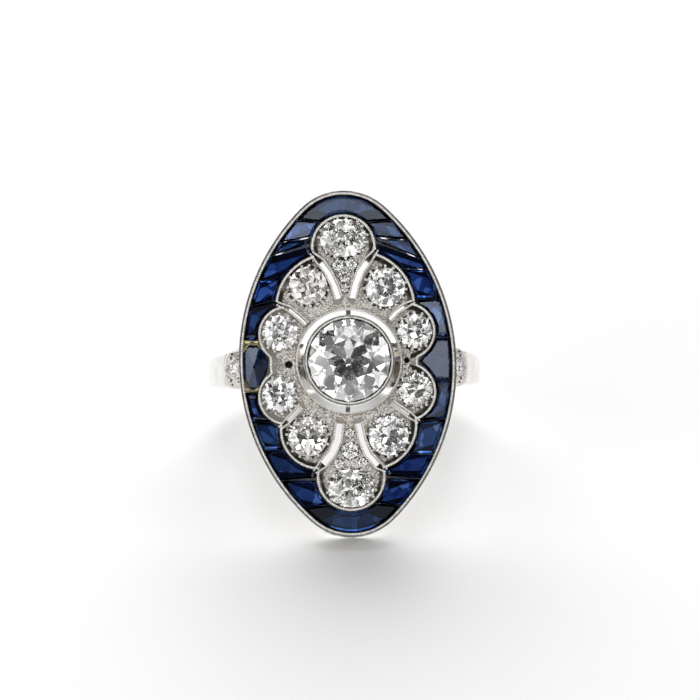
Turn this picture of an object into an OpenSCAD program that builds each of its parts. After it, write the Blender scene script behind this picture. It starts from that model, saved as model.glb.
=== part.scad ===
// Sapphire and diamond ring: a long oval plaque on a plain band, lying on its side.
// Everything is built in the plaque's own frame: X across it, Y along it and along the finger,
// Z out of its face, with the centre of the finger hole at zero. Then it is laid on the table.

/* [Band] */
// Inner diameter of the band
finger_d = 17.2; // [16:0.1:19]
// Thickness of the band at the middle of its width
band_t = 1.5; // [1.2:0.1:2]
// Width of the band along the finger
band_w = 1.8; // [1.5:0.1:2.4]
// Width of a shoulder where it passes under the plaque
shoulder_w = 2.7; // [2.2:0.1:3.2]
// Radius of the band's domed outer face
dome_r = 4; // [3:0.5:8]

/* [Plaque] */
// Length of the plaque along the finger
plaque_l = 25.2; // [24.8:0.1:25.6]
// Width of the plaque
plaque_w = 15.8; // [15.6:0.1:16.2]
// Radius of the plaque's long side arcs
side_r = 15.7; // [15.3:0.1:16.5]
// Angle by which the plaque's outline is turned on the band
lean = 1.2; // [0:0.1:2]
// Thickness of the plaque's side wall
rim_t = 0.28; // [0.22:0.02:0.36]
// Height of the plaque's side wall
rim_h = 2.6; // [2.2:0.1:3]

/* [Petals] */
// Thickness of the thin wall round each petal
petal_t = 0.17; // [0.12:0.01:0.2]
// Height of the petal walls above the floor they stand on
petal_h = 0.5; // [0.3:0.05:0.6]
// Thickness of the walls along the pierced slots
border_t = 0.14; // [0.1:0.01:0.16]

/* [Centre] */
// Diameter of the centre stone
centre_d = 6; // [5.6:0.1:6.2]
// Thickness of the collet's wall
collet_t = 0.24; // [0.18:0.02:0.3]
// Width of the pierced ring round the collet
moat_w = 0.44; // [0.3:0.02:0.5]
// Height of the centre stone's widest line over the sapphires'
centre_rise = 1.1; // [0.8:0.1:1.5]

/* [Stones] */
// Gap between a stone and the metal beside it
gap = 0.05; // [0.04:0.01:0.08]
// Width of the bevel round a sapphire's table
bevel = 0.24; // [0.16:0.02:0.26]

/* [Hidden] */
finger_r = finger_d / 2;
band_r = finger_r + band_t;
edge_r = band_r - dome_r + sqrt(dome_r * dome_r - band_w * band_w / 4);

// Heights in the plaque's frame
wall_z0 = finger_r + 0.5;
rim_z1 = wall_z0 + rim_h;
back_z0 = finger_r + 1.4;
back_z1 = back_z0 + 0.4;
floor_z = back_z0 + 1.15;
petal_z1 = floor_z + petal_h;
sapphire_z = floor_z + 0.05;
petal_stone_z = floor_z + 0.22;
accent_z = floor_z + 0.1;
centre_z = sapphire_z + centre_rise;
// The walls start a little inside the back plate, and cuts run past the metal's ends
root_z = back_z0 + 0.1;
claw_z1 = sapphire_z + 0.35;
collet_z0 = back_z0 - 0.15;
collet_z1 = centre_z + 0.18;
bridge_z1 = floor_z + 0.15;
past = 1;

// The plaque's outline: two long side arcs that run into two end arcs
half_l = plaque_l / 2;
half_w = plaque_w / 2;
side_x = side_r - half_w;
end_r = (side_r * side_r - side_x * side_x - half_l * half_l) / (2 * (side_r - half_l));
end_y = half_l - end_r;
end_angle = atan2(end_y, side_x);

function at(a, r) = [r * cos(a), r * sin(a)];
function steps(a, b, n) = [for (i = [0:n]) a + (b - a) * i / n];

// Distance from zero, along the ray at angle a, to the far side of a circle; 0 if it misses
function hit(a, c, r) =
    let (along = c[0] * cos(a) + c[1] * sin(a),
         off = c[0] * c[0] + c[1] * c[1] - along * along)
    off < r * r ? along + sqrt(r * r - off) : 0;

// Distance from zero to the plaque's outline, moved in by an inset
function outline_ray(a, inset) =
    let (b = a - lean,
         side = hit(b, [cos(b) < 0 ? side_x : -side_x, 0], side_r - inset),
         turn = atan2(side * abs(sin(b)), side * abs(cos(b)) + side_x))
    turn < end_angle ? side : hit(b, [0, sin(b) < 0 ? -end_y : end_y], end_r - inset);

outline_step = 3;
function outline_points(inset) =
    [for (a = [0:outline_step:359]) at(a + lean, outline_ray(a + lean, inset))];

// Petals round the plaque from the right: first angle, arc centre x and y, arc radius,
// stone x and y, stone half width and half height
PETALS = [
    [1.5, 4.3, 2.3, 2.1, 4.92, 2.32, 1.27, 1.27],
    [42.9, 0.85, 4.1, 4.1, 2.8, 5.55, 1.45, 1.45],
    [75.9, -0.2, 8.5, 2.35, -0.2, 9.15, 1.7, 1.38],
    [106.9, -1.2, 4.05, 4, -2.8, 5.7, 1.4, 1.4],
    [138.2, -4.35, 2.15, 2.1, -4.9, 2.3, 1.3, 1.3],
    [180.5, -4.45, -2.35, 2.07, -4.95, -2.2, 1.3, 1.3],
    [222.3, -2.1, -4.8, 2.87, -2.95, -5.25, 1.47, 1.47],
    [253.8, 0.15, -8.2, 2.5, 0.15, -9.05, 1.7, 1.38],
    [288.3, 1.65, -4.4, 3.35, 2.9, -5.25, 1.47, 1.47],
    [320, 4.25, -2.1, 2.15, 4.92, -1.95, 1.25, 1.25],
];
petal_n = len(PETALS);
first_angle = PETALS[0][0];
petal_step = 3;
// Angle of the strip left at each end of a petal's pocket, and the reach of the pockets' middle part
web_angle = 1.2;
middle_share = 0.93;
// How far in the notches between the side petals reach, on the left and on the right
notch_left = 5.65;
notch_right = 5.1;

function turned(a) = a - 360 * floor((a - first_angle) / 360);
function petal_start(k) = PETALS[(k + petal_n) % petal_n][0] + 360 * floor(k / petal_n);
function petal_at(a) =
    [for (k = [0:petal_n - 1]) if (turned(a) >= petal_start(k) && turned(a) < petal_start(k + 1)) k][0];
// Distance from zero to the edge of petal k, moved in by an inset
function petal_ray(a, k, inset) =
    let (p = PETALS[(k + petal_n) % petal_n])
    max(hit(a, [p[1], p[2]], p[3] - inset), (cos(a) < 0 ? notch_left : notch_right) - inset);
// Outline of one petal's sector, moved in, with a strip left standing at each end
function petal_points(k, inset, trim) =
    let (a = petal_start(k) + trim, b = petal_start(k + 1) - trim)
    [for (t = steps(a, b, ceil((b - a) / petal_step))) at(t, petal_ray(t, k, inset))];

// Pierced slots: points along the middle from the notch inwards, width at the notch, width inside
SLOTS = [
    [[[-2.5, 8.05], [-1.85, 7.4], [-1.28, 6.6], [-0.87, 5.69], [-0.58, 4.75]], 0.1, 0.38],
    [[[2.2, 8.25], [1.55, 7.45], [1.04, 6.75], [0.67, 5.84], [0.4, 4.75]], 0.1, 0.38],
    [[[-2.45, -7.8], [-1.86, -7.25], [-1.18, -6.42], [-0.8, -5.55], [-0.62, -4.3]], 0.1, 0.46],
    [[[2.65, -7.75], [2.1, -7.4], [1.42, -6.6], [0.98, -5.55], [0.74, -4.3]], 0.1, 0.4],
    [[[-5, 4.4], [-4.2, 4.05], [-3.6, 3.55], [-2.95, 2.94]], 0.08, 0.22],
    [[[4.85, 4.45], [4.2, 4.15], [3.6, 3.75], [3.1, 3.2]], 0.08, 0.22],
    [[[-4.95, -4.6], [-4.4, -4.1], [-3.9, -3.55], [-3.4, -3.05]], 0.08, 0.26],
    [[[5.05, -4.25], [4.4, -3.75], [3.75, -3.3], [3.15, -2.85]], 0.08, 0.26],
];
// Drilled holes between the side petals: x, y, radius
HOLES = [[-4.27, 0, 0.27], [4.3, 0.2, 0.2]];

centre = [0.1, 0.2];
centre_r = centre_d / 2;
// Width and depth of the step that the centre stone sits on
seat_step = 0.4;
seat_r = centre_r - seat_step;
collet_r = centre_r + gap + collet_t;
moat_r = collet_r + moat_w;
bridge_w = 0.34;
BRIDGE_ANGLES = [2, 90, 182, 268];

// Crown and pavilion heights of the round stones: in mm for the centre and petal stones,
// and as shares of the radius for the small ones
CENTRE_CUT = [0.85, 2.3];
PETAL_CUT = [0.42, 1.1];
ACCENT_CUT = [0.3, 0.8];
SHOULDER_CUT = [0.28, 0.75];
// Least and relative thickness of a stone's edge, reach of its star facets and of its lower facets
edge_least = 0.02;
edge_share = 0.03;
star_push = 0.03;
lower_share = 0.42;

// Small stones in the tails of the top and bottom petals: x, y, radius
ACCENTS = [
    [-0.6, 7.2, 0.4], [0.38, 7.25, 0.4], [-0.12, 6.38, 0.42], [-0.12, 5.5, 0.3],
    [0.1, -6.3, 0.6], [0.1, -5.05, 0.32], [-0.72, -7.25, 0.34], [1, -7.2, 0.34],
];

// Sapphires round the channel: inner angles from and to, outer angles from and to, share of the bevel
SAPPHIRES = [
    [82, 100.2, 71.9, 108.9, 1], [100.2, 105.3, 108.9, 118.9, 1], [105.3, 106.9, 118.9, 124.9, 0.7],
    [106.9, 125.9, 124.9, 136, 0.8], [125.9, 138.2, 136, 148.7, 1], [138.2, 164.4, 148.7, 166.6, 0.9],
    [167.9, 195.5, 169.4, 193.4, 1], [197.2, 217, 195.2, 210.3, 0.9], [217, 232.9, 210.3, 225.3, 1],
    [232.9, 253.8, 225.3, 239.6, 0.9], [253.8, 261.7, 239.6, 252.3, 1], [261.7, 280.4, 252.3, 289.8, 1],
    [280.4, 288.3, 289.8, 301.5, 1], [288.3, 302.8, 301.5, 312.6, 0.9], [302.8, 320, 312.6, 330, 1],
    [320, 348.8, 330, 350.3, 1], [348.8, 375.9, 350.3, 374, 1], [375.9, 402.9, 374, 394.1, 0.9],
    [402.9, 419.9, 394.1, 408.9, 1], [419.9, 435.9, 408.9, 414, 0.6], [435.9, 436.8, 414, 422.9, 0.55],
    [436.8, 442, 422.9, 431.9, 1],
];
sapphire_n = len(SAPPHIRES);
rose_cut = 6;
// Size of the rose-cut stone's top against a table, and its height
rose_share = 0.12;
rose_h = 0.55;
// Loops of a sapphire from below: how far drawn in, in bevels, and the height over the widest line
CUT = [[1.25, -0.72], [0, 0], [0, 0.08], [0.45, 0.28], [1, 0.4]];
// Longest step along an edge, steps along a narrow stone's joints, and the inner angle of a narrow one
sapphire_step = 0.9;
joint_steps = 3;
narrow_angle = 2;
// Half the gap at a joint, and what the inner edge needs more because its chords are straight
joint_gap = 0.03;
chord_gap = 0.04;
// Most that a loop is drawn in towards the middle, smallest corner beside a petal, and a small angle
most_share = 0.8;
least_corner = 0.03;
nudge = 0.3;

// Ledge left round the opening under a sapphire, and the share of its length left at each end
ledge = 0.3;
margin = 0.2;
// Size of a seat's opening against its stone, and the roundness of the cushion-shaped stones
seat_share = 0.88;
cushion = 2.3;
seat_points = 48;

// Small stones on each shoulder: angle up the band, radius; how deep their widest line sits, the depth
// of the blind hole under them and of the wider step that they lie in
SHOULDER = [[33.2, 0.72], [42.2, 0.66]];
shoulder_sink = 0.08;
blind_h = 0.8;
step_h = 0.12;
// Half width of the band at heights up to the plaque
TAPER = [
    [band_w / 2, -band_r - past], [band_w / 2, 2],
    [shoulder_w / 2, 6.2], [shoulder_w / 2 + 0.45, back_z0 + past],
];
// Shoulder web between the band and the plaque: across and up
web_x = 4.3;
web_z1 = back_z0 + 0.2;
underside_z = wall_z0 + 0.4;
WEB = [[7.3, 6], [7.72, 6.5], [7.72, web_z1], [web_x, web_z1], [web_x, 8.1]];
// Order of the slots' outer ends round the plaque
NOTCH_ORDER = [0, 4, 6, 2, 3, 7, 5, 1];
claw_gap = 0.35;

// The ring lies on the plaque's lower end and on the band's edge, which sets its tilt
low_y = end_y * cos(lean) + end_r;
tilt = atan2(wall_z0 + edge_r, low_y - band_w / 2);
lift = low_y * sin(tilt) - wall_z0 * cos(tilt);
front_y = -low_y * cos(tilt) - rim_z1 * sin(tilt);
back_y = band_w / 2 * cos(tilt) + edge_r * sin(tilt);

module lay() translate([0, -(front_y + back_y) / 2, lift]) rotate([tilt, 0, 0]) children();

function inward(p, q) = let (d = (q - p) / norm(q - p)) [-d[1], d[0]];
function reversed(v) = [for (i = [len(v) - 1:-1:0]) v[i]];
function from_second(line) = [for (i = [1:len(line) - 1]) line[i]];
function middle(loop) = [for (k = [0:1]) [for (p = loop) p[k]] * [for (p = loop) 1] / len(loop)];
function shrunk(loop, share) = let (m = middle(loop)) [for (p = loop) m + (p - m) * share];
function raised(loop, z) = [for (p = loop) [p[0], p[1], z]];

// Solid through loops of equal length, from the lowest up, whose ends are closed by the triangles in cap
module skin(rings, cap) {
    n = len(rings[0]);
    last = len(rings) - 1;
    sides = [for (j = [0:last - 1]) for (i = [0:n - 1])
        let (a = j * n + i, b = j * n + (i + 1) % n) each [[a, a + n, b + n], [a, b + n, b]]];
    top = [for (f = cap) [for (i = [2:-1:0]) last * n + f[i]]];
    polyhedron([for (r = rings) each r], concat(cap, sides, top));
}

// Strip of varying width along a line of points: half widths w0 at its start and w1 from point 1 on
function side_points(line, w0, w1, s) =
    [for (i = [0:len(line) - 1])
        let (p = line[max(i - 1, 0)], q = line[min(i + 1, len(line) - 1)])
        line[i] + inward(p, q) * s * (i == 0 ? w0 : w1)];
module strip(line, w0, w1)
    polygon(concat(side_points(line, w0, w1, 1), reversed(side_points(line, w0, w1, -1))));

// Angle that a length takes up at a distance from zero, and the length that an angle takes up
function angle_of(length, r) = length / r * 180 / PI;
function length_of(angle, r) = angle * r * PI / 180;
// Angles along an edge from a to b in n steps, drawn in by the joint's gap at both ends
function edge_angles(a, b, n, r) = let (d = angle_of(joint_gap, r)) steps(a + d, b - d, n);

// Petals that a sapphire's inner edge starts and ends on, and its distance from zero there
function first_petal(i) = petal_at(SAPPHIRES[i][0] + nudge);
function last_petal(i) = petal_at(SAPPHIRES[i][1] - nudge);
function inner_ray(t, i, inset) =
    max(petal_ray(t, first_petal(i), inset), petal_ray(t, last_petal(i), inset));
// Middles of both edges, and the number of steps along each of them
function outer_middle(i) = outline_ray((SAPPHIRES[i][2] + SAPPHIRES[i][3]) / 2, rim_t);
function inner_middle(i) = inner_ray((SAPPHIRES[i][0] + SAPPHIRES[i][1]) / 2, i, 0);
function edge_steps(i) =
    let (s = SAPPHIRES[i],
         edge = max(length_of(s[3] - s[2], outer_middle(i)), length_of(s[1] - s[0], inner_middle(i))))
    max(2, ceil(edge / sapphire_step));
// Angles along the inner edge, one of them in the valley between two petals
function inner_angles(i) =
    let (s = SAPPHIRES[i], n = edge_steps(i), v = petal_start(first_petal(i) + 1),
         plain = edge_angles(s[0], s[1], n, inner_middle(i)),
         m = round(n * (v - plain[0]) / (plain[n] - plain[0])))
    first_petal(i) == last_petal(i) ? plain
        : concat(steps(plain[0], v, m), from_second(steps(v, plain[n], n - m)));

// Both edges of a sapphire at its widest line
function edges(i) =
    let (s = SAPPHIRES[i])
    [[for (t = edge_angles(s[2], s[3], edge_steps(i), outer_middle(i))) at(t, outline_ray(t, rim_t + gap))],
     [for (t = inner_angles(i)) at(t, inner_ray(t, i, -gap - chord_gap))]];
// The two long sides of a sapphire: its edges, or on a narrow one its joints, from the rim inwards
function narrow(i) = SAPPHIRES[i][1] - SAPPHIRES[i][0] < narrow_angle;
function sides(i) =
    let (e = edges(i), n = len(e[0]) - 1)
    narrow(i) ? [for (j = [n, 0]) [for (k = [0:joint_steps]) e[0][j] + (e[1][j] - e[0][j]) * k / joint_steps]]
              : e;

// Where the neighbouring petal stands further out at a joint, the stone has a corner more beside it
function corner(i, a, beyond) =
    let (other = petal_at(a + beyond * nudge), r = petal_ray(a, other, -gap))
    !narrow(i) && petal_ray(a, other, 0) - inner_ray(a, i, 0) > least_corner
        ? [at(a - beyond * angle_of(joint_gap, r), r)] : [];
function start_corner(i) = corner(i, SAPPHIRES[i][0], -1);
function end_corner(i) = corner(i, SAPPHIRES[i][1], 1);

// Loop of a sapphire, each point drawn in by a width towards the middle between the two sides
function cell(i, width) =
    let (v = sides(i), n = len(v[0]) - 1,
         inner = [for (j = [0:n]) min(max(j, 1), n - 1)],
         mid = [for (j = inner) (v[0][j] + v[1][j]) / 2],
         share = [for (j = inner) min(2 * width / norm(v[0][j] - v[1][j]), most_share)])
    concat(
        [for (j = [0:n]) v[0][j] + (mid[j] - v[0][j]) * share[j]],
        [for (c = end_corner(i)) c + (mid[n] - c) * share[n]],
        [for (j = [n:-1:0]) v[1][j] + (mid[j] - v[1][j]) * share[j]],
        [for (c = start_corner(i)) c + (mid[0] - c) * share[0]]);

// Triangles across such a loop, from side to side, and round the corners at its ends
function cell_cap(i) =
    let (n = len(sides(i)[0]) - 1,
         at_start = len(start_corner(i)) > 0,
         at_end = len(end_corner(i)) > 0,
         inner = n + (at_end ? 2 : 1), start = inner + n + 1, end = n + 1)
    [for (j = [0:n - 1])
        let (o = j, p = j + 1, q = inner + n - j - 1, r = inner + n - j)
        each (at_start && j == 0 ? [[start, o, p], [start, p, q], [start, q, r]]
            : at_end && j == n - 1 ? [[end, q, r], [end, r, o], [end, o, p]]
            : [[o, p, q], [o, q, r]])];

module sapphire(i) {
    width = bevel * SAPPHIRES[i][4];
    top = CUT[len(CUT) - 1];
    below_top = [for (j = [0:len(CUT) - 2]) raised(cell(i, width * CUT[j][0]), sapphire_z + CUT[j][1])];
    table = cell(i, width * top[0]);
    color("midnightblue") lay() skin(
        concat(below_top, [i == rose_cut ? raised(shrunk(table, rose_share), sapphire_z + rose_h)
                                         : raised(table, sapphire_z + top[1])]),
        cell_cap(i));
}

// Round or cushion-shaped brilliant: half sizes, table share, crown and pavilion heights
function squircle(a, e) = pow(pow(abs(cos(a)), e) + pow(abs(sin(a)), e), -1 / e);
module brilliant(rx, ry, crown, depth, table = 0.55, culet = 0.07, e = 2) {
    turn = 360 / 16;
    star = (table + 1) / 2 + star_push;
    low = lower_share;
    girdle = edge_share * rx + edge_least;
    function place(a, r, z) = [rx * r * squircle(a, e) * cos(a), ry * r * squircle(a, e) * sin(a), z];
    function crown_z(r) = girdle + crown * (1 - (r * cos(turn) - table) / (1 - table));
    function depth_z(r) = -depth * (1 - r * cos(turn)) / (1 - culet * cos(turn));
    // Rows of points: table 8, star 8, upper girdle 16, lower girdle 16, pavilion 8, culet 8
    points = concat(
        [for (i = [0:7]) place(2 * i * turn, table, girdle + crown)],
        [for (i = [0:7]) place((2 * i + 1) * turn, star, crown_z(star))],
        [for (i = [0:15]) place(i * turn, 1, girdle)],
        [for (i = [0:15]) place(i * turn, 1, 0)],
        [for (i = [0:7]) place((2 * i + 1) * turn, low, depth_z(low))],
        [for (i = [0:7]) place((2 * i + 1) * turn, culet, -depth)]);
    faces = concat(
        [[for (i = [7:-1:0]) i], [for (i = [0:7]) 56 + i]],
        [for (i = [0:7])
            let (j = (i + 1) % 8, h = (i + 7) % 8, g = 16 + 2 * i, g1 = g + 1, g2 = 16 + 2 * j)
            each [[i, j, 8 + i], [8 + i, j, g2], [i, 8 + i, g], [8 + i, g2, g1], [8 + i, g1, g]]],
        [for (i = [0:15]) let (a = 16 + i, b = 16 + (i + 1) % 16) each [[a, b, b + 16], [a, b + 16, a + 16]]],
        [for (i = [0:7])
            let (j = (i + 1) % 8, g = 32 + 2 * i, g1 = g + 1, g2 = 32 + 2 * j, l = 48 + i, c = 56 + i)
            each [[g, g1, l], [g1, g2, l], [l, g2, 48 + j], [l, 48 + j, 56 + j], [l, 56 + j, c]]]);
    polyhedron(points, faces);
}

module centre_diamond() color("white") lay() translate([centre[0], centre[1], centre_z])
    brilliant(centre_r, centre_r, CENTRE_CUT[0], CENTRE_CUT[1], table = 0.52, culet = 0.09);

module petal_diamond(k) {
    p = PETALS[k];
    color("white") lay() translate([p[4], p[5], petal_stone_z])
        brilliant(p[6], p[7], PETAL_CUT[0], PETAL_CUT[1], e = p[6] > p[7] ? cushion : 2);
}

module accent_diamond(i) {
    s = ACCENTS[i];
    color("white") lay() translate([s[0], s[1], accent_z])
        brilliant(s[2], s[2], ACCENT_CUT[0] * s[2], ACCENT_CUT[1] * s[2]);
}

module on_shoulder(i) {
    s = SHOULDER[i % 2];
    rotate([0, i < 2 ? 90 - s[0] : s[0] - 90, 0]) translate([0, 0, band_r - shoulder_sink]) children();
}
module shoulder_diamond(i) {
    r = SHOULDER[i % 2][1];
    color("white") lay() on_shoulder(i) brilliant(r, r, SHOULDER_CUT[0] * r, SHOULDER_CUT[1] * r);
}

// Flat shapes of the plaque's metal
module outline(inset) polygon(outline_points(inset));
module petal_sheet() polygon([for (k = [0:petal_n - 1]) each petal_points(k, 0, 0)]);
module pockets() {
    for (k = [0:petal_n - 1]) polygon(concat([[0, 0]], petal_points(k, petal_t, web_angle)));
    polygon([for (i = NOTCH_ORDER) SLOTS[i][0][0] * middle_share]);
}
module grooves(grow) for (s = SLOTS) strip(s[0], s[1] / 2 + grow, s[2] / 2 + grow);
module slots() for (s = SLOTS) strip(from_second(s[0]), s[2] / 2, s[2] / 2);
module seats() {
    for (p = PETALS) translate([p[4], p[5]])
        if (p[6] > p[7]) polygon([for (j = [1:seat_points]) let (a = j * 360 / seat_points)
            [p[6] * cos(a), p[7] * sin(a)] * squircle(a, cushion) * seat_share]);
        else circle(r = p[6] * seat_share, $fn = seat_points);
    for (s = ACCENTS) translate([s[0], s[1]]) circle(r = s[2] * seat_share, $fn = seat_points);
    for (h = HOLES) translate([h[0], h[1]]) circle(r = h[2], $fn = seat_points);
}
// Opening under a sapphire, with a ledge left round it
function window(i) =
    let (s = SAPPHIRES[i], a = (s[1] - s[0]) * margin, b = (s[3] - s[2]) * margin)
    concat([for (t = steps(s[2] + b, s[3] - b, 2)) at(t, outline_ray(t, rim_t + ledge))],
           [for (t = steps(s[1] - a, s[0] + a, 2)) at(t, petal_ray(t, petal_at(t), -ledge))]);
module windows() for (i = [0:sapphire_n - 1]) polygon(window(i));
module moat() translate(centre) circle(r = moat_r, $fn = 96);

// Claw bars at both ends of the rose-cut sapphire
module claw_bars() for (j = [rose_cut, rose_cut + 1]) {
    a = SAPPHIRES[j - 1];
    b = SAPPHIRES[j];
    mid = (a[1] + b[0]) / 2;
    k = petal_at(mid);
    polygon([for (t = [a[3] + claw_gap, b[2] - claw_gap]) at(t, outline_ray(t, rim_t / 2)),
             for (t = [b[0] - claw_gap, a[1] + claw_gap]) at(t, petal_ray(t, k, petal_t / 2))]);
}

module raise(z0, z1) translate([0, 0, z0]) linear_extrude(z1 - z0) children();

// Plaque: side wall, back plate and petals, pierced and pocketed, with the collet on its bridges
module plaque() {
    difference() {
        union() {
            raise(wall_z0, rim_z1) difference() { outline(0); outline(rim_t); }
            raise(back_z0, back_z1) outline(rim_t / 2);
            raise(root_z, petal_z1) petal_sheet();
            raise(root_z, claw_z1) claw_bars();
        }
        raise(floor_z, rim_z1) difference() {
            pockets();
            grooves(border_t);
            translate(centre) circle(r = moat_r + border_t, $fn = 96);
        }
        raise(floor_z, rim_z1) grooves(0);
        raise(back_z0 - past, rim_z1) { slots(); seats(); windows(); moat(); }
    }
    collet();
}

module collet() translate([centre[0], centre[1], 0]) difference() {
    union() {
        raise(collet_z0, collet_z1) circle(r = collet_r, $fn = 96);
        raise(back_z0, bridge_z1) for (a = BRIDGE_ANGLES)
            rotate(a) translate([0, -bridge_w / 2]) square([moat_r + border_t / 2, bridge_w]);
    }
    raise(back_z0 - past, centre_z + past) circle(r = seat_r, $fn = 96);
    raise(centre_z - seat_step, centre_z + past) circle(r = centre_r + gap, $fn = 96);
}

// Band and shoulders, narrow below and wider towards the plaque, with blind seats for the small stones
module band_solid() {
    rotate([90, 0, 0]) rotate_extrude($fn = 180) intersection() {
        translate([finger_r, -shoulder_w]) square([band_t, 2 * shoulder_w]);
        translate([band_r - dome_r, 0]) circle(r = dome_r, $fn = 96);
    }
    for (s = [-1, 1]) rotate([90, 0, 0]) raise(-shoulder_w, shoulder_w)
        polygon([for (p = WEB) [s * p[0], p[1]]]);
}
module band_taper() rotate([90, 0, 90]) raise(-band_r - past, band_r + past)
    polygon([for (p = TAPER) p, for (p = reversed(TAPER)) [-p[0], p[1]]]);
module band() difference() {
    intersection() { band_solid(); band_taper(); }
    rotate([90, 0, 0]) cylinder(r = finger_r, h = 4 * shoulder_w, center = true, $fn = 180);
    translate([-web_x, -shoulder_w, underside_z]) cube([2 * web_x, 2 * shoulder_w, band_t]);
    for (i = [0:3]) on_shoulder(i) {
        raise(-blind_h, past) circle(r = SHOULDER[i % 2][1] * seat_share, $fn = seat_points);
        raise(-step_h, past) circle(r = SHOULDER[i % 2][1] + gap, $fn = seat_points);
    }
}

module metal() color("silver") lay() { band(); plaque(); }

metal();
centre_diamond();
for (k = [0:petal_n - 1]) petal_diamond(k);
for (i = [0:len(ACCENTS) - 1]) accent_diamond(i);
for (i = [0:sapphire_n - 1]) sapphire(i);
for (i = [0:3]) shoulder_diamond(i);
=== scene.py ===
"""Looks of the sapphire and diamond ring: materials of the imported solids, milgrain, setting grains,
floor, light and camera. Shapes are in millimetres and in the plaque's own frame, as in the ring's
source: x across the plaque, y along it, z out of its face, zero at the middle of the finger hole.
Lengths and scales inside the materials are in metres."""

import math
import random
from collections import namedtuple

import bmesh
import bpy
from mathutils import Matrix, Vector


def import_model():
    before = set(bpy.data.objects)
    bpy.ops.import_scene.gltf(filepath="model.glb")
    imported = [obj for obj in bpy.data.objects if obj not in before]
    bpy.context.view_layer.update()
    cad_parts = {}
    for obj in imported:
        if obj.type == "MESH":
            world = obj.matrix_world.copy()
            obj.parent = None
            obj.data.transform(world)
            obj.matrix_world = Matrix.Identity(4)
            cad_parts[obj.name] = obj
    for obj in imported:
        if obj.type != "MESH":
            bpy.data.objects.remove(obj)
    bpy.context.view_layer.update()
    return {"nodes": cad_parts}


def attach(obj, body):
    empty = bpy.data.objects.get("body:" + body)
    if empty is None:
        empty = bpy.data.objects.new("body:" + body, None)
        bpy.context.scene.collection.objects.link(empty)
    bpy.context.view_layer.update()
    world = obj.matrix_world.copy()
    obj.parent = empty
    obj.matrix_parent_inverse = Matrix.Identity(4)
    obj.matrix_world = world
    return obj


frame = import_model()
nodes = frame["nodes"]
scene = bpy.context.scene

# Sizes shared with the source
FINGER_R, BAND_T, BAND_W, DOME_R = 8.6, 1.5, 1.8, 4.0
HALF_L, HALF_W, SIDE_R, LEAN, RIM_T = 12.6, 7.9, 15.7, 1.2, 0.28
PETAL_T, BORDER_T, COLLET_T, MOAT_W, GAP = 0.17, 0.14, 0.24, 0.44, 0.05
BAND_R = FINGER_R + BAND_T
EDGE_R = BAND_R - DOME_R + math.sqrt(DOME_R**2 - BAND_W**2 / 4)
WALL_Z0 = FINGER_R + 0.5
RIM_Z1 = WALL_Z0 + 2.6
BACK_Z0 = FINGER_R + 1.4
BACK_Z1 = BACK_Z0 + 0.4
FLOOR_Z = BACK_Z0 + 1.15
PETAL_Z1 = FLOOR_Z + 0.5
CENTRE, CENTRE_R, CENTRE_Z = (0.1, 0.2), 3.0, FLOOR_Z + 0.05 + 1.1
MOAT_R = CENTRE_R + GAP + COLLET_T + MOAT_W
SIDE_X = SIDE_R - HALF_W
END_R = (SIDE_R**2 - SIDE_X**2 - HALF_L**2) / (2 * (SIDE_R - HALF_L))
END_Y = HALF_L - END_R
END_ANGLE = math.degrees(math.atan2(END_Y, SIDE_X))
NOTCH_LEFT, NOTCH_RIGHT = 5.65, 5.1
# Petals: first angle, middle and radius of the arc, middle, half width and half height of the stone
Petal = namedtuple("Petal", "angle x y r stone_x stone_y stone_w stone_h")
PETALS = [
    Petal(1.5, 4.3, 2.3, 2.1, 4.92, 2.32, 1.27, 1.27),
    Petal(42.9, 0.85, 4.1, 4.1, 2.8, 5.55, 1.45, 1.45),
    Petal(75.9, -0.2, 8.5, 2.35, -0.2, 9.15, 1.7, 1.38),
    Petal(106.9, -1.2, 4.05, 4, -2.8, 5.7, 1.4, 1.4),
    Petal(138.2, -4.35, 2.15, 2.1, -4.9, 2.3, 1.3, 1.3),
    Petal(180.5, -4.45, -2.35, 2.07, -4.95, -2.2, 1.3, 1.3),
    Petal(222.3, -2.1, -4.8, 2.87, -2.95, -5.25, 1.47, 1.47),
    Petal(253.8, 0.15, -8.2, 2.5, 0.15, -9.05, 1.7, 1.38),
    Petal(288.3, 1.65, -4.4, 3.35, 2.9, -5.25, 1.47, 1.47),
    Petal(320, 4.25, -2.1, 2.15, 4.92, -1.95, 1.25, 1.25),
]
# Pierced slots: points from the notch inwards, width at the notch and width inside
SLOTS = [
    ([(-2.5, 8.05), (-1.85, 7.4), (-1.28, 6.6), (-0.87, 5.69), (-0.58, 4.75)], 0.1, 0.38),
    ([(2.2, 8.25), (1.55, 7.45), (1.04, 6.75), (0.67, 5.84), (0.4, 4.75)], 0.1, 0.38),
    ([(-2.45, -7.8), (-1.86, -7.25), (-1.18, -6.42), (-0.8, -5.55), (-0.62, -4.3)], 0.1, 0.46),
    ([(2.65, -7.75), (2.1, -7.4), (1.42, -6.6), (0.98, -5.55), (0.74, -4.3)], 0.1, 0.4),
    ([(-5, 4.4), (-4.2, 4.05), (-3.6, 3.55), (-2.95, 2.94)], 0.08, 0.22),
    ([(4.85, 4.45), (4.2, 4.15), (3.6, 3.75), (3.1, 3.2)], 0.08, 0.22),
    ([(-4.95, -4.6), (-4.4, -4.1), (-3.9, -3.55), (-3.4, -3.05)], 0.08, 0.26),
    ([(5.05, -4.25), (4.4, -3.75), (3.75, -3.3), (3.15, -2.85)], 0.08, 0.26),
]
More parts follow.
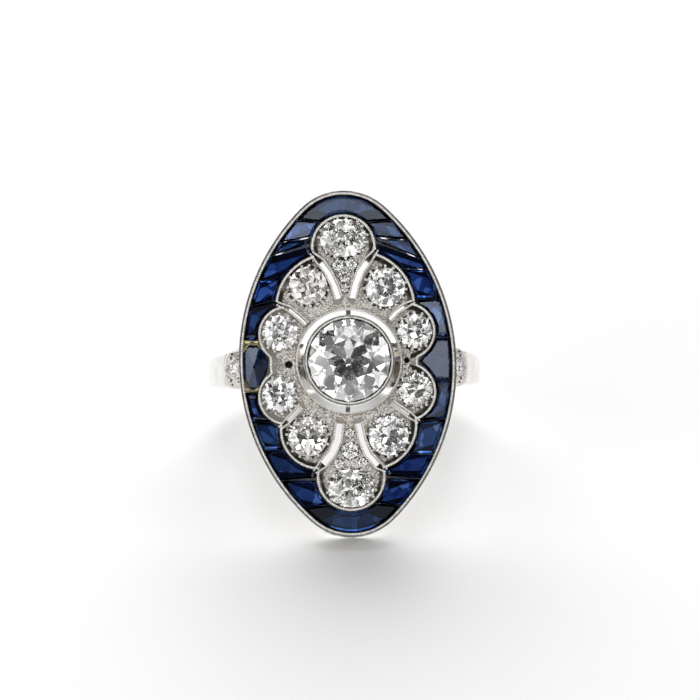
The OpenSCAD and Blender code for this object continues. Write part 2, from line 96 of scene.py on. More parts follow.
# Accent stones and drilled holes: middle and radius
ACCENTS = [
    (-0.6, 7.2, 0.4), (0.38, 7.25, 0.4), (-0.12, 6.38, 0.42), (-0.12, 5.5, 0.3),
    (0.1, -6.3, 0.6), (0.1, -5.05, 0.32), (-0.72, -7.25, 0.34), (1, -7.2, 0.34),
]
HOLES = [(-4.27, 0, 0.27), (4.3, 0.2, 0.2)]
# Shoulder stones: angle up from the plaque's right side and radius
SHOULDER = [(33.2, 0.72), (42.2, 0.66)]
# Stones on the plaque's floor: middle, half width and half height
ROUND = [p[4:] for p in PETALS] + [(x, y, r, r) for x, y, r in ACCENTS]

# The ring lies on the plaque's lower end and the band's edge
MM = 0.001
low_y = END_Y * math.cos(math.radians(LEAN)) + END_R
tilt = math.atan2(WALL_Z0 + EDGE_R, low_y - BAND_W / 2)
lift = low_y * math.sin(tilt) - WALL_Z0 * math.cos(tilt)
front_y = -low_y * math.cos(tilt) - RIM_Z1 * math.sin(tilt)
back_y = BAND_W / 2 * math.cos(tilt) + EDGE_R * math.sin(tilt)
LAY = (
    Matrix.Diagonal((MM, MM, MM, 1))
    @ Matrix.Translation((0, -(front_y + back_y) / 2, lift))
    @ Matrix.Rotation(tilt, 4, "X")
)
ACROSS, ALONG = Vector((1, 0, 0)), Vector((0, math.cos(tilt), math.sin(tilt)))
FACE = Vector((0, -math.sin(tilt), math.cos(tilt)))


def world(x, y, z):
    """A point of the plaque's frame in the scene."""
    return LAY @ Vector((x, y, z))


# Outlines in the plaque's plane
def at(angle, r):
    """Point at an angle and a distance from zero."""
    a = math.radians(angle)
    return r * math.cos(a), r * math.sin(a)


def hit(angle, cx, cy, r):
    """Distance from zero along a ray to the far side of a circle, 0 if it misses."""
    a = math.radians(angle)
    along = cx * math.cos(a) + cy * math.sin(a)
    off = cx * cx + cy * cy - along * along
    return along + math.sqrt(r * r - off) if off < r * r else 0


def outline_ray(angle, inset):
    """Distance from zero to the plaque's outline, moved inwards."""
    b = angle - LEAN
    c, s = math.cos(math.radians(b)), math.sin(math.radians(b))
    side = hit(b, SIDE_X if c < 0 else -SIDE_X, 0, SIDE_R - inset)
    if math.degrees(math.atan2(side * abs(s), side * abs(c) + SIDE_X)) < END_ANGLE:
        return side
    return hit(b, 0, -END_Y if s < 0 else END_Y, END_R - inset)


def petal_ray(angle, k, inset):
    """Distance from zero to the outline of a petal, moved inwards."""
    p = PETALS[k]
    notch = NOTCH_LEFT if math.cos(math.radians(angle)) < 0 else NOTCH_RIGHT
    return max(hit(angle, p.x, p.y, p.r - inset), notch - inset)


def petal_line(k, inset, trim):
    """Outline of a petal, cut short by an angle at both ends."""
    last = PETALS[k + 1].angle if k + 1 < len(PETALS) else PETALS[0].angle + 360
    a, b, n = PETALS[k].angle + trim, last - trim, 40
    angles = [a + (b - a) * i / n for i in range(n + 1)]
    return [at(angle, petal_ray(angle, k, inset)) for angle in angles]


def circle_line(cx, cy, r):
    n = 120
    points = [at(360 * i / n, r) for i in range(n + 1)]
    return [(cx + x, cy + y) for x, y in points]


def slot_side(line, w0, w1, side):
    """One side of a slot, from half its width at the notch and inside."""
    out = []
    for i, p in enumerate(line):
        q0, q1 = line[max(i - 1, 0)], line[min(i + 1, len(line) - 1)]
        d = Vector((q1[0] - q0[0], q1[1] - q0[1])).normalized()
        w = w0 if i == 0 else w1
        out.append((p[0] - d.y * side * w, p[1] + d.x * side * w))
    return out


def spaced(line, pitch):
    """Points at equal steps along a line."""
    out, left = [], 0.0
    for (x0, y0), (x1, y1) in zip(line, line[1:]):
        length = math.hypot(x1 - x0, y1 - y0)
        while left < length:
            t = left / length
            out.append((x0 + (x1 - x0) * t, y0 + (y1 - y0) * t))
            left += pitch
        left -= length
    return out


# Nodes
def material(name):
    m = bpy.data.materials.new(name)
    m.use_nodes = True
    tree = m.node_tree
    tree.nodes.clear()
    return m, tree, tree.nodes.new("ShaderNodeOutputMaterial")


def math_node(tree, kind, *values):
    n = tree.nodes.new("ShaderNodeMath")
    n.operation = kind
    for slot, v in zip(n.inputs, values):
        if isinstance(v, (int, float)):
            slot.default_value = v
        else:
            tree.links.new(v, slot)
    return n.outputs[0]


def product(tree, first, *others):
    for v in others:
        first = math_node(tree, "MULTIPLY", first, v)
    return first


def absolute(tree, value):
    return math_node(tree, "ABSOLUTE", value)


def reach(tree, a, b):
    """Distance of the point a, b from zero."""
    squares = [product(tree, v, v) for v in (a, b)]
    return math_node(tree, "SQRT", math_node(tree, "ADD", *squares))


def vector_node(tree, kind, *values, output="Vector"):
    n = tree.nodes.new("ShaderNodeVectorMath")
    n.operation = kind
    for slot, v in zip(n.inputs, values):
        if isinstance(v, Vector):
            slot.default_value = v
        else:
            tree.links.new(v, slot)
    return n.outputs[output]


def dot(tree, vector, direction):
    return vector_node(tree, "DOT_PRODUCT", vector, direction, output="Value")


def scaled(tree, vector, share):
    """A direction times a number from a node."""
    out = vector_node(tree, "SCALE", vector)
    tree.links.new(share, out.node.inputs["Scale"])
    return out


def step(tree, value, low, high):
    """0 below low, 1 above high and smooth between them, falling where low is above high."""
    n = tree.nodes.new("ShaderNodeMapRange")
    n.interpolation_type = "SMOOTHSTEP"
    tree.links.new(value, n.inputs["Value"])
    n.inputs["From Min"].default_value = low
    n.inputs["From Max"].default_value = high
    return n.outputs["Result"]


def band(tree, value, low, high, soft):
    """1 between low and high, 0 outside."""
    return product(tree, step(tree, value, low - soft, low), step(tree, value, high + soft, high))


def blended(tree, share, a, b):
    """A number that goes from a to b as the share goes from 0 to 1."""
    n = tree.nodes.new("ShaderNodeMapRange")
    tree.links.new(share, n.inputs["Value"])
    n.inputs["To Min"].default_value, n.inputs["To Max"].default_value = a, b
    return n.outputs["Result"]


def geometry(tree, output):
    return tree.nodes.new("ShaderNodeNewGeometry").outputs[output]


def plaque_frame(tree):
    """The point's x, y and z in the plaque's own frame, in millimetres."""
    spot, rows = geometry(tree, "Position"), LAY.inverted()
    return [math_node(tree, "ADD", dot(tree, spot, rows[i].xyz), rows[i][3]) for i in range(3)]


def noise(tree, scale, detail, rough):
    n = tree.nodes.new("ShaderNodeTexNoise")
    n.inputs["Scale"].default_value = scale
    n.inputs["Detail"].default_value = detail
    n.inputs["Roughness"].default_value = rough
    tree.links.new(geometry(tree, "Position"), n.inputs["Vector"])
    return n.outputs["Fac"]


def cells(tree, scale, output):
    n = tree.nodes.new("ShaderNodeTexVoronoi")
    n.inputs["Scale"].default_value = scale
    tree.links.new(geometry(tree, "Position"), n.inputs["Vector"])
    return n.outputs[output]


def ramp(tree, source, stops):
    r = tree.nodes.new("ShaderNodeValToRGB")
    while len(r.color_ramp.elements) < len(stops):
        r.color_ramp.elements.new(0.5)
    for e, (spot, colour) in zip(r.color_ramp.elements, stops):
        e.position, e.color = spot, (*colour, 1)
    tree.links.new(source, r.inputs["Fac"])
    return r.outputs["Color"]


def mixed(tree, share, a, b):
    n = tree.nodes.new("ShaderNodeMix")
    n.data_type = "RGBA"
    tree.links.new(share, n.inputs["Factor"])
    for slot, v in ((n.inputs[6], a), (n.inputs[7], b)):
        if isinstance(v, tuple):
            slot.default_value = (*v, 1)
        else:
            tree.links.new(v, slot)
    return n.outputs[2]


def bumped(tree, height, strength, depth):
    n = tree.nodes.new("ShaderNodeBump")
    n.inputs["Strength"].default_value = strength
    n.inputs["Distance"].default_value = depth
    tree.links.new(height, n.inputs["Height"])
    return n.outputs["Normal"]


# Where the bars beside the rose-cut sapphire are olive, and where the shoulders are worked
GILT_X, GILT_Y = (-7.58, -6.3), (-2.3, 2.3)
WORKED_X, WORKED_Z = (7.0, 7.3), (4.6, WALL_Z0 - 0.2)
# Width of the painted shade round large and small stones and in the petals' corners
STONE_SHADE, ACCENT_SHADE, CORNER_SHADE = 0.2, 0.1, 0.45
# Left of this x, the petals keep only this share of their painted shade
SHADE_CUT_X, SHADE_KEPT = -4, 0.3
# A face whose normal has a smaller share than this along z belongs to an upright wall
UPRIGHT = 0.5


def apart(tree, x, y, spot):
    """Distance from a line that stands on the plaque's plane."""
    return reach(tree, *[math_node(tree, "SUBTRACT", v, c) for v, c in zip((x, y), spot)])


def seats(tree, x, y, z):
    """1 in the seats under the stones, which get painted shade."""
    wall = CENTRE_R + GAP
    under = product(tree, step(tree, apart(tree, x, y, CENTRE), wall + 0.03, wall + 0.01),
                    step(tree, z, CENTRE_Z + 0.05, CENTRE_Z - 0.05))
    for p in PETALS:
        r = (p.stone_w + p.stone_h) / 2
        near = step(tree, apart(tree, x, y, (p.stone_x, p.stone_y)), r + 0.12, r + 0.04)
        near = product(tree, near, step(tree, z, FLOOR_Z - 0.01, FLOOR_Z - 0.06))
        under = math_node(tree, "MAXIMUM", under, near)
    return product(tree, under, step(tree, z, BACK_Z1 - 0.05, BACK_Z1 + 0.05))


def recess(tree, x, y, z):
    """How deep a point lies in the plaque's face: 1 on its floor, 0 on its walls' tops."""
    arc = reach(tree, math_node(tree, "ADD", absolute(tree, x), SIDE_X), y)
    return product(
        tree,
        step(tree, arc, SIDE_R - RIM_T + 0.1, SIDE_R - RIM_T - 0.02),
        step(tree, absolute(tree, y), HALF_L - 0.12, HALF_L - 0.22),
        step(tree, z, PETAL_Z1 + 0.25, FLOOR_Z + 0.1),
        step(tree, z, FLOOR_Z - 2.0, FLOOR_Z - 0.7),
        step(tree, apart(tree, x, y, CENTRE), MOAT_R, MOAT_R + 0.08),
    )


def corners(tree, x, y, z):
    """1 where painted shade goes: round the stones and in the corner between a petal's wall and
    floor.
    """
    masks = []
    for u, v, w, h in ROUND:
        r, width = (w + h) / 2, STONE_SHADE if w > 1 else ACCENT_SHADE
        masks.append((u, step(tree, apart(tree, x, y, (u, v)), r + width, r + width * 0.6)))
    for p, q in zip(PETALS, PETALS[1:] + PETALS[:1]):
        away, edge = apart(tree, x, y, (p.x, p.y)), p.r - PETAL_T
        near = product(tree, step(tree, away, edge - CORNER_SHADE, edge - 0.2),
                       step(tree, away, edge + 0.05, edge + 0.02))
        for angle, side in ((p.angle, 1), (q.angle, -1)):
            c, s = at(angle, side)
            turn = math_node(tree, "SUBTRACT", product(tree, y, c), product(tree, x, s))
            near = product(tree, near, math_node(tree, "GREATER_THAN", turn, 0.0))
        masks.append((p.x, near))
    masks = [product(tree, mask, SHADE_KEPT) if u < SHADE_CUT_X else mask for u, mask in masks]
    dark = masks[0]
    for mask in masks[1:]:
        dark = math_node(tree, "MAXIMUM", dark, mask)
    return product(tree, dark, step(tree, z, PETAL_Z1 - 0.1, PETAL_Z1 - 0.2),
                   step(tree, z, FLOOR_Z - 0.1, FLOOR_Z - 0.05))


def wall_normal(tree, x, y, z, shown):
    """The shown normal, with the outer wall's true curve in place of its flat faces."""
    c, s = at(LEAN, 1)
    u = math_node(tree, "ADD", product(tree, x, c), product(tree, y, s))
    v = math_node(tree, "SUBTRACT", product(tree, y, c), product(tree, x, s))
    run, rise = math_node(tree, "ADD", absolute(tree, u), SIDE_X), absolute(tree, v)
    slope = math.tan(math.radians(END_ANGLE))
    at_end = math_node(tree, "GREATER_THAN", rise, product(tree, run, slope))
    a = math_node(tree, "SUBTRACT", run, product(tree, at_end, SIDE_X))
    b = math_node(tree, "SUBTRACT", rise, product(tree, at_end, END_Y))
    radius = reach(tree, a, b)
    outer = math_node(tree, "MULTIPLY_ADD", at_end, END_R - SIDE_R, SIDE_R - 0.06)
    true = geometry(tree, "True Normal")
    share = product(
        tree,
        math_node(tree, "GREATER_THAN", radius, outer),
        math_node(tree, "LESS_THAN", absolute(tree, dot(tree, true, FACE)), UPRIGHT),
        math_node(tree, "GREATER_THAN", z, WALL_Z0 - 0.05),
    )
    parts = []
    for axis, part, way in ((ACROSS * c + ALONG * s, a, u), (ALONG * c - ACROSS * s, b, v)):
        signed = product(tree, part, math_node(tree, "SIGN", way))
        parts.append(scaled(tree, axis, math_node(tree, "DIVIDE", signed, radius)))
    curve = vector_node(tree, "ADD", *parts)
    change = scaled(tree, vector_node(tree, "SUBTRACT", curve, true), share)
    return vector_node(tree, "NORMALIZE", vector_node(tree, "ADD", shown, change))


# Metals: colours, noise scales, and the size of rounded edges and bumps
# BROWN is tarnish together with painted shade, laid in the recesses of the plaque's face.
SILVER, WORN, BROWN = (0.92, 0.915, 0.9), (0.8, 0.78, 0.75), (0.47, 0.42, 0.36)
# The last colour of the next row is painted shade, under and round the stones and in the petals'
# corners.
OLIVE, PAINTED_SHADE = (0.44, 0.38, 0.24), (0.05, 0.045, 0.04)
CLOUD, TARNISH_AND_SHADE, SPECKS, PATCHES, SCRATCHES, PITTING = 900, 2600, 3600, 1400, 9000, 5200
ROUNDED_EDGE, RELIEF = 0.00005, 0.00004


def platinum():
    """Polished platinum with soft wear, brown tarnish with painted shade where the plaque's face is
    deep, painted shade under and round the stones and in the petals' corners, and an olive cast on
    the bars beside the rose-cut sapphire."""
    m, tree, out = material("platinum")
    p = tree.nodes.new("ShaderNodeBsdfPrincipled")
    p.inputs["Metallic"].default_value = 1.0
    x, y, z = plaque_frame(tree)
    cloud = noise(tree, CLOUD, 5, 0.6)
    tarnish_and_shade = blended(tree, noise(tree, TARNISH_AND_SHADE, 4, 0.7), 0.3, 1.3)
    worked = product(tree, band(tree, z, *WORKED_Z, 0.2), step(tree, absolute(tree, x), *WORKED_X),
                     blended(tree, noise(tree, SPECKS, 4, 0.7), 0.0, 1.0))
    # The recesses get brown tarnish with painted shade; the worked shoulders get speckled tarnish.
    deep = math_node(tree, "MAXIMUM", product(tree, recess(tree, x, y, z), tarnish_and_shade), worked)
    gilt = product(tree, band(tree, x, *GILT_X, 0.1), band(tree, y, *GILT_Y, 0.2),
                   step(tree, z, FLOOR_Z - 1.0, FLOOR_Z - 0.7))
    tinted = mixed(tree, deep, ramp(tree, cloud, [(0.35, WORN), (0.6, SILVER)]), BROWN)
    tinted = mixed(tree, gilt, tinted, OLIVE)
    patches = blended(tree, noise(tree, PATCHES, 3, 0.6), -0.5, 2.5)
    patches = math_node(tree, "MAXIMUM", math_node(tree, "MINIMUM", patches, 1.0), 0.15)
    # Painted shade under the stones, round them and in the petals' corners, in uneven patches.
    painted_shade = math_node(tree, "MAXIMUM", seats(tree, x, y, z),
                     product(tree, corners(tree, x, y, z), patches))
    tree.links.new(mixed(tree, painted_shade, tinted, PAINTED_SHADE), p.inputs["Base Color"])
    gloss = math_node(tree, "ADD", blended(tree, cloud, 0.26, 0.1), product(tree, deep, 0.3))
    tree.links.new(gloss, p.inputs["Roughness"])
    grain = math_node(tree, "ADD", product(tree, noise(tree, SCRATCHES, 4, 0.7), 0.25),
                      product(tree, cells(tree, PITTING, "Distance"), deep))
    edge = tree.nodes.new("ShaderNodeBevel")
    edge.inputs["Radius"].default_value = ROUNDED_EDGE
    rough = bumped(tree, grain, 0.5, RELIEF)
    smooth = wall_normal(tree, x, y, z, edge.outputs["Normal"])
    tree.links.new(smooth, rough.node.inputs["Normal"])
    tree.links.new(rough, p.inputs["Normal"])
    tree.links.new(p.outputs["BSDF"], out.inputs["Surface"])
    return m


def small_metal(name, metallic, tones, gloss, relief):
    """Metal of the beads, and near-black painted shade for the pits. Each of the last three starts
    with the scale of its noise: two colours with their places, the range of roughness, and the bumps'
    strength and depth."""
    m, tree, out = material(name)
    p = tree.nodes.new("ShaderNodeBsdfPrincipled")
    p.inputs["Metallic"].default_value = metallic
    scale, *stops = tones
    tree.links.new(ramp(tree, noise(tree, scale, 3, 0.6), stops), p.inputs["Base Color"])
    scale, low, high = gloss
    tree.links.new(blended(tree, noise(tree, scale, 2, 0.5), low, high), p.inputs["Roughness"])
    scale, strength, depth = relief
    bumps = bumped(tree, noise(tree, scale, 3, 0.6), strength, depth)
    tree.links.new(bumps, p.inputs["Normal"])
    tree.links.new(p.outputs["BSDF"], out.inputs["Surface"])
    return m


METAL = platinum()
BEADS = small_metal(
    "platinum_beads", 0.2, (3200, (0.35, (0.85, 0.81, 0.74)), (0.55, (1.0, 0.985, 0.95))),
    (2100, 0.3, 0.6), (16000, 0.3, 0.00001),
)
# Near-black balls put in the drilled holes and shoulder pits: painted shade.
PIT_SHADE = small_metal(
    "painted_pit_shade", 0.6, (5000, (0.35, (0.012, 0.01, 0.008)), (0.7, (0.05, 0.04, 0.03))),
    (3000, 0.5, 0.8), (9000, 0.4, 0.00002),
)

# Stones
DIAMOND_IOR, SAPPHIRE_IOR = 2.42, 1.77
DIAMOND_LEAN = 0.05
# Two petal stones are a little darker and warmer than the others
CLEAR, WARM = (0.985, 0.985, 0.98), (0.935, 0.931, 0.922)
WARM_STONES = ("petal_diamond_4", "petal_diamond_7")
PALE_BLUE = (0.7, 0.79, 1.0)
ROYAL, NAVY, INK = (0.03, 0.26, 0.59), (0.06, 0.26, 0.49), (0.12, 0.27, 0.44)
# Sapphires: colour kept through the stone, density, lean across and along the plaque
SAPPHIRES = [
    (INK, 3000, 0.0, 0.08), (ROYAL, 1750, -0.02, 0.15), (NAVY, 1950, 0.02, 0.03),
    (ROYAL, 2500, -0.04, 0.04), (ROYAL, 2700, 0.03, -0.03), (NAVY, 2600, -0.02, 0.06),
    (INK, 1000, 0.0, 0.0), (ROYAL, 1900, -0.03, 0.07), (NAVY, 2700, 0.02, 0.06),
    (NAVY, 2200, -0.04, -0.03), (ROYAL, 1900, 0.04, 0.02), (INK, 3100, 0.0, -0.05),
    (ROYAL, 2400, 0.03, 0.03), (ROYAL, 2300, -0.03, 0.03), (NAVY, 1800, 0.0, 0.075),
    (NAVY, 2100, 0.03, 0.1), (INK, 1300, 0.01, 0.16), (INK, 1800, -0.02, 0.13),
    (ROYAL, 2400, -0.02, 0.05), (ROYAL, 1500, 0.04, 0.06), (NAVY, 1750, 0.0, 0.07),
    (INK, 2600, 0.03, 0.09),
]
# Colours of the cells seen inside a sapphire, and how much they turn the light
FLAW_SCALE, FLAW_TURN = 1500, 0.16
FLAW_TONES = [
    (0.0, (0.09, 0.14, 0.27)), (0.6, (0.2, 0.31, 0.5)), (0.85, (0.65, 0.82, 1.0)),
    (1.0, (0.9, 0.97, 1.0)),
]


def gem(name, colour, ior, lean, absorb=None, density=0.0):
    """A cut stone: clear glass with the stone's own index. No two stones sit quite level, so each
    one's facets lean a little across and along the plaque. A stone that absorbs is coloured through
    its depth, and its back faces are cloudy with uneven cells."""
    m, tree, out = material(name)
    g = tree.nodes.new("ShaderNodeBsdfGlass")
    g.inputs["IOR"].default_value = ior
    g.inputs["Roughness"].default_value = 0.0
    lighter = tuple(min(1, c * 1.05) for c in colour)
    shade = ramp(tree, noise(tree, 700, 2, 0.5), [(0.3, colour), (0.7, lighter)])
    inside = geometry(tree, "Backfacing")
    side = math_node(tree, "SUBTRACT", 1.0, product(tree, inside, 2.0))
    turn = scaled(tree, ACROSS * lean[0] + ALONG * lean[1], side)
    leaned = vector_node(tree, "ADD", geometry(tree, "Normal"), turn)
    if absorb:
        cell = cells(tree, FLAW_SCALE, "Color")
        parts = tree.nodes.new("ShaderNodeSeparateXYZ")
        tree.links.new(cell, parts.inputs["Vector"])
        shade = mixed(tree, inside, shade, ramp(tree, parts.outputs["X"], FLAW_TONES))
        uneven = vector_node(tree, "SUBTRACT", cell, Vector((0.5, 0.5, 0.5)))
        uneven = scaled(tree, uneven, product(tree, inside, FLAW_TURN))
        leaned = vector_node(tree, "ADD", leaned, uneven)
        v = tree.nodes.new("ShaderNodeVolumeAbsorption")
        v.inputs["Color"].default_value = (*absorb, 1)
        v.inputs["Density"].default_value = density
        tree.links.new(v.outputs["Volume"], out.inputs["Volume"])
    tree.links.new(shade, g.inputs["Color"])
    tree.links.new(vector_node(tree, "NORMALIZE", leaned), g.inputs["Normal"])
    tree.links.new(g.outputs["BSDF"], out.inputs["Surface"])
    return m


def assign(obj, mat):
    obj.data.materials.clear()
    obj.data.materials.append(mat)


rng = random.Random(7)
for name, obj in nodes.items():
    if name == "metal":
        assign(obj, METAL)
    elif "diamond" in name:
        most = 0.0 if name == "centre_diamond" else DIAMOND_LEAN
        lean = rng.uniform(-most, most), rng.uniform(-most, most)
        assign(obj, gem(name, WARM if name in WARM_STONES else CLEAR, DIAMOND_IOR, lean))
    else:
        absorb, density, *lean = SAPPHIRES[int(name.split("_")[1]) - 1]
        assign(obj, gem(name, PALE_BLUE, SAPPHIRE_IOR, lean, absorb, density))


# New pieces
def new_object(name, verts, faces, mat):
    mesh = bpy.data.meshes.new(name)
    mesh.from_pydata(verts, [], faces)
    obj = bpy.data.objects.new(name, mesh)
    scene.collection.objects.link(obj)
    assign(obj, mat)
    return obj


def on_metal(obj):
    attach(obj, "root")


def ball():
    """Corners and faces of one small round bead."""
    b = bmesh.new()
    bmesh.ops.create_icosphere(b, subdivisions=2, radius=1.0)
    b.verts.ensure_lookup_table()
    verts = [v.co.copy() for v in b.verts]
    faces = [[v.index for v in f.verts] for f in b.faces]
    b.free()
    return verts, faces


BALL = ball()


def beads(name, spots, mat=BEADS):
    """One piece of many beads; each spot is x, y, z and radius in the plaque's frame."""
    verts, faces = [], []
    for x, y, z, r in spots:
        base = len(verts)
        verts += [world(x + v.x * r, y + v.y * r, z + v.z * r) for v in BALL[0]]
        faces += [[base + i for i in f] for f in BALL[1]]
    obj = new_object(name, verts, faces, mat)
    for f in obj.data.polygons:
        f.use_smooth = True
    on_metal(obj)


# Milgrain: how much its beads differ, and their radius and step in each row
WOBBLE = 0.12
RIM_ROW, PETAL_ROW, SLOT_ROW = (0.08, 0.17), (0.087, 0.175), (0.072, 0.162)
RING_ROW, COLLET_ROW = (0.074, 0.162), (0.075, 0.157)
TOP_Z = PETAL_Z1 + 0.01


def row(line, z, r, pitch):
    """Beads along a line."""
    return [(x, y, z, r * (1 + rng.uniform(-WOBBLE, WOBBLE))) for x, y in spaced(line, pitch)]


rim_line = [at(a / 2, outline_ray(a / 2, RIM_T - 0.07)) for a in range(721)]
beads("rim_milgrain", row(rim_line, RIM_Z1 - 0.01, *RIM_ROW))

spots = []
for k in range(len(PETALS)):
    spots += row(petal_line(k, PETAL_T / 2, 0.3), TOP_Z, *PETAL_ROW)
beads("petal_milgrain", spots)

spots = []
for line, w0, w1 in SLOTS:
    for side in (-1, 1):
        border = slot_side(line, w0 / 2 + BORDER_T / 2, w1 / 2 + BORDER_T / 2, side)
        spots += row(border, TOP_Z, *SLOT_ROW)
beads("slot_milgrain", spots)

beads("ring_milgrain", row(circle_line(*CENTRE, MOAT_R + BORDER_T / 2), TOP_Z, *RING_ROW))
collet_line = circle_line(*CENTRE, CENTRE_R + GAP + 0.07)
beads("collet_milgrain", row(collet_line, CENTRE_Z + 0.17, *COLLET_ROW))


# Setting grains and the worked ground between the stones
def petal_at(angle):
    """Number of the petal that a ray crosses."""
    turned = (angle - PETALS[0].angle) % 360 + PETALS[0].angle
    return max(k for k, p in enumerate(PETALS) if p.angle <= turned + 1e-6)


def near_line(x, y, line):
    """Distance from a point to a line of points."""
    best = math.inf
    for (x0, y0), (x1, y1) in zip(line, line[1:]):
        dx, dy = x1 - x0, y1 - y0
        t = max(0, min(1, ((x - x0) * dx + (y - y0) * dy) / (dx * dx + dy * dy)))
        best = min(best, math.hypot(x - x0 - t * dx, y - y0 - t * dy))
    return best


def on_ground(x, y, room, room_stone, room_wall):
    """True where a grain has room enough to the slots, holes and pierced ring, to the stones and
    to the petal walls."""
    angle, r = math.degrees(math.atan2(y, x)), math.hypot(x, y)
    if r > petal_ray(angle, petal_at(angle), PETAL_T + room_wall):
        return False
    if math.hypot(x - CENTRE[0], y - CENTRE[1]) < MOAT_R + BORDER_T + room:
        return False
    for u, v, w, h in ROUND:
        if math.hypot((x - u) / (w + room_stone), (y - v) / (h + room_stone)) < 1:
            return False
    if any(math.hypot(x - u, y - v) < r + room for u, v, r in HOLES):
        return False
    return all(near_line(x, y, line) > max(w) / 2 + BORDER_T + room for line, *w in SLOTS)


def clear_of(x, y, others, room=None):
    """True where a point is farther than room from all the others, or than their radius."""
    return all(math.hypot(x - s[0], y - s[1]) > (room or s[3]) for s in others)


# Grains round a large or a small stone: number, radius and height over the floor
LARGE_GRAINS, SMALL_GRAINS = (15, 0.115, 0.24), (6, 0.075, 0.13)
grains = []
for u, v, w, h in ROUND:
    n, r, rise = LARGE_GRAINS if w > 1 else SMALL_GRAINS
    start, away = rng.uniform(0, 360 / n), r * 0.75
    for i in range(n):
        a = math.radians(start + 360 * i / n + rng.uniform(-4, 4))
        x, y = u + (w + away) * math.cos(a), v + (h + away) * math.sin(a)
        if on_ground(x, y, r * 0.4, 0.0, r * 0.4) and clear_of(x, y, grains, r * 1.5):
            grains.append((x, y, FLOOR_Z + rise, r))
beads("setting_grains", grains)

# Ground grains stand in staggered rows, each moved a little
PITCH, ROW_SHARE, SHIFT, WALL_ROOM = 0.19, 0.866, 0.05, 0.28
spots = []
for i in range(-30, 31):
    for j in range(-56, 57):
        x = (i + j % 2 / 2) * PITCH + rng.uniform(-SHIFT, SHIFT)
        y = j * PITCH * ROW_SHARE + rng.uniform(-SHIFT, SHIFT)
        r = rng.uniform(0.065, 0.11)
        room = r * 0.5
        if on_ground(x, y, room, room, room + WALL_ROOM) and clear_of(x, y, grains):
            spots.append((x, y, FLOOR_Z + 0.01, r))
beads("ground_grains", spots)
# The balls deep in the drilled holes are painted shade.
beads("drilled_pits", [(x, y, FLOOR_Z - 0.4, r * 0.97) for x, y, r in HOLES], PIT_SHADE)

# Tarnished corner claws of the rose-cut sapphire: corner and two reaches along its edges
CLAWS = [
    ((-7.56, 1.74), (-7.6, 0.8), (-6.85, 1.74)), ((-6.45, 1.74), (-6.95, 1.74), (-5.95, 0.85)),
    ((-6.5, -1.9), (-5.95, -1.15), (-6.95, -1.9)), ((-7.6, -1.9), (-6.95, -1.9), (-7.62, -0.95)),
]
CLAW_Z0, CLAW_Z1 = FLOOR_Z - 0.1, PETAL_Z1 + 0.05
# Loops of a claw from its foot to its crowned top: share of its width and height
CLAW_LOOPS = [(1.0, CLAW_Z0), (1.0, CLAW_Z1 - 0.08), (0.82, CLAW_Z1 - 0.02), (0.4, CLAW_Z1)]

verts, faces = [], []
for claw in CLAWS:
    base = len(verts)
    mx, my = sum(c[0] for c in claw) / 3, sum(c[1] for c in claw) / 3
    rim = []
    for (x0, y0), (x1, y1) in zip(claw, claw[1:] + claw[:1]):
        rim += [(x0 + (x1 - x0) * t, y0 + (y1 - y0) * t) for t in (0.08, 0.36, 0.64, 0.92)]
    n = len(rim)
    for share, z in CLAW_LOOPS:
        verts += [world(mx + (x - mx) * share, my + (y - my) * share, z) for x, y in rim]
    for loop in range(len(CLAW_LOOPS) - 1):
        for i in range(n):
            a, b = base + loop * n + i, base + loop * n + (i + 1) % n
            faces.append((a, b, b + n, a + n))
    top = base + (len(CLAW_LOOPS) - 1) * n
    faces += [tuple(top + i for i in range(n)), tuple(base + n - 1 - i for i in range(n))]
on_metal(new_object("rose_cut_claws", verts, faces, METAL))


# Shoulders: a curved border, edge rows, grains round the stones and small pits of painted shade
def on_band(angle, y):
    """Point of the band's domed outer face, by its angle up from the plaque's right side."""
    r = BAND_R - DOME_R + math.sqrt(DOME_R**2 - y * y)
    return r * math.cos(math.radians(angle)), y, r * math.sin(math.radians(angle))


HALF_BORDER = 1.26
BORDER_BEAD, EDGE_BEAD, SETTING_BEAD = 0.075, 0.07, 0.1
spots = []
for i in range(19):
    y = -HALF_BORDER + 2 * HALF_BORDER * i / 18
    spots.append((*on_band(27.6 + 2.6 * (y / HALF_BORDER) ** 2, y), BORDER_BEAD))
for i in range(16):
    for side in (-1, 1):
        spots.append((*on_band(31.5 + 0.95 * i, side * (1.34 + 0.02 * i)), EDGE_BEAD))
for angle, r in SHOULDER:
    for i in range(8):
        along, y = at(45 * i + 22.5, r + 0.09)
        spots.append((*on_band(angle + math.degrees(along / BAND_R), y), SETTING_BEAD))
beads("shoulder_milgrain", spots + [(-x, y, z, r) for x, y, z, r in spots])
# The small near-black balls on the shoulders are painted shade of drilled pits.
spots = [(*on_band(30.4 + 2.1 * abs(y), y), 0.085) for y in (-1.12, -0.86, 0.86, 1.12)]
spots += [(*on_band(37.8, y), 0.08) for y in (-0.95, -0.7, 0.7, 0.95)]
beads("shoulder_pits", [(s * x, y, z, r) for x, y, z, r in spots for s in (-1, 1)], PIT_SHADE)

# Floor
HALF_SIDE = 2.0
m, tree, out = material("floor")
p = tree.nodes.new("ShaderNodeBsdfPrincipled")
p.inputs["Base Color"].default_value = (0.845, 0.845, 0.845, 1)
p.inputs["Roughness"].default_value = 0.9
p.inputs["Specular IOR Level"].default_value = 0.1
tree.links.new(p.outputs["BSDF"], out.inputs["Surface"])
verts = [(HALF_SIDE * x, HALF_SIDE * y, 0) for x, y in ((-1, -1), (1, -1), (1, 1), (-1, 1))]
obj = new_object("floor", verts, [(0, 1, 2, 3)], m)


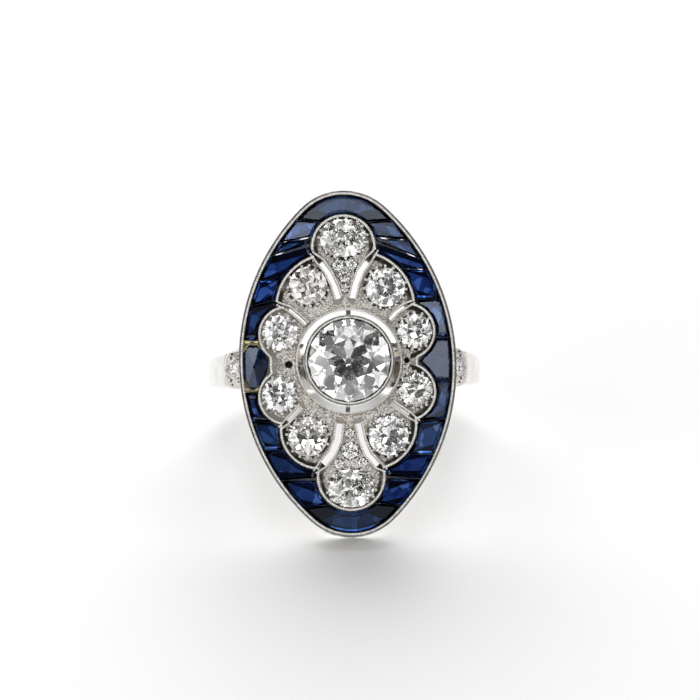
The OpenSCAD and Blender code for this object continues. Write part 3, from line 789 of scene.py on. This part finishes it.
# Light: soft lamps and white boards of a dark studio
def aim(azimuth, height):
    """Direction by its azimuth, 0 straight in front and 90 on the right, and height in degrees."""
    a, h = math.radians(azimuth), math.radians(height)
    return Vector((math.sin(a) * math.cos(h), -math.cos(a) * math.cos(h), math.sin(h)))


# Light from everywhere, light from behind the plaque, and where that light begins and is full
BASE, FILL, FILL_FROM, FILL_FULL = 0.04, 0.32, 0.2, -0.4
# Lamps: azimuth, height, brightness and radius in degrees
LAMPS = [
    (178, 17, 5.0, 14), (198, 0, 4.0, 14), (283, 4, 3.2, 14), (210, 30, 4.1, 14),
    (158, 38, 4.0, 14), (0, 78, 2.2, 14), (315, 15, 1.95, 14), (73, 32, 1.45, 14),
    (8, 8, 1.3, 14), (190, 55, 1.1, 14), (295, 35, 0.7, 14), (137, 70, 0.55, 14),
    (40, 19, 0.33, 14), (0, 53, 2.4, 7),
]
# A lamp is full inside and gone outside these shares of its radius
FULL, GONE = 0.3, 1.7

w = bpy.data.worlds.new("studio")
scene.world = w
w.use_nodes = True
tree = w.node_tree
look = tree.nodes.new("ShaderNodeTexCoord").outputs["Generated"]
behind = step(tree, dot(tree, look, FACE), FILL_FROM, FILL_FULL)
light = math_node(tree, "MULTIPLY_ADD", behind, FILL, BASE)
for azimuth, height, value, radius in LAMPS:
    edges = [math.cos(math.radians(radius * share)) for share in (GONE, FULL)]
    glow = step(tree, dot(tree, look, aim(azimuth, height)), *edges)
    light = math_node(tree, "MULTIPLY_ADD", glow, value, light)
seen = tree.nodes.new("ShaderNodeLightPath").outputs["Is Camera Ray"]
light = math_node(tree, "MAXIMUM", light, seen)
sky = tree.nodes["Background"]
sky.inputs["Color"].default_value = (1, 1, 1, 1)
tree.links.new(light, sky.inputs["Strength"])
scene.view_settings.view_transform = "Standard"
scene.cycles.max_bounces = 24
scene.cycles.glossy_bounces = scene.cycles.transmission_bounces = 16

# Camera: angle over the floor, step aside and distance; the picture's pixel and width; the sensor;
# and how far the picture's middle lies from the plaque's, in pixels
ELEVATION, ASIDE, DISTANCE = math.radians(28.3), 0.0225, 0.4
PIXEL, WIDE, SENSOR = 0.0725e-3, 700, 36
RIGHT_BY, UP_BY = 2.3, 13.5
toward = Vector((-ASIDE, -math.cos(ELEVATION), math.sin(ELEVATION))).normalized()
right = Vector((0, 0, 1)).cross(toward).normalized()
up = toward.cross(right)
middle = world(0, 0, RIM_Z1) + right * RIGHT_BY * PIXEL + up * UP_BY * PIXEL
cam = bpy.data.cameras.new("camera")
cam.lens = SENSOR * DISTANCE / (WIDE * PIXEL)
cam.sensor_width = SENSOR
cam.clip_start, cam.clip_end = 0.01, 10
cam_obj = bpy.data.objects.new("camera", cam)
scene.collection.objects.link(cam_obj)
cam_obj.location = middle + toward * DISTANCE
cam_obj.rotation_euler = (-toward).to_track_quat("-Z", "Y").to_euler()
scene.camera = cam_obj
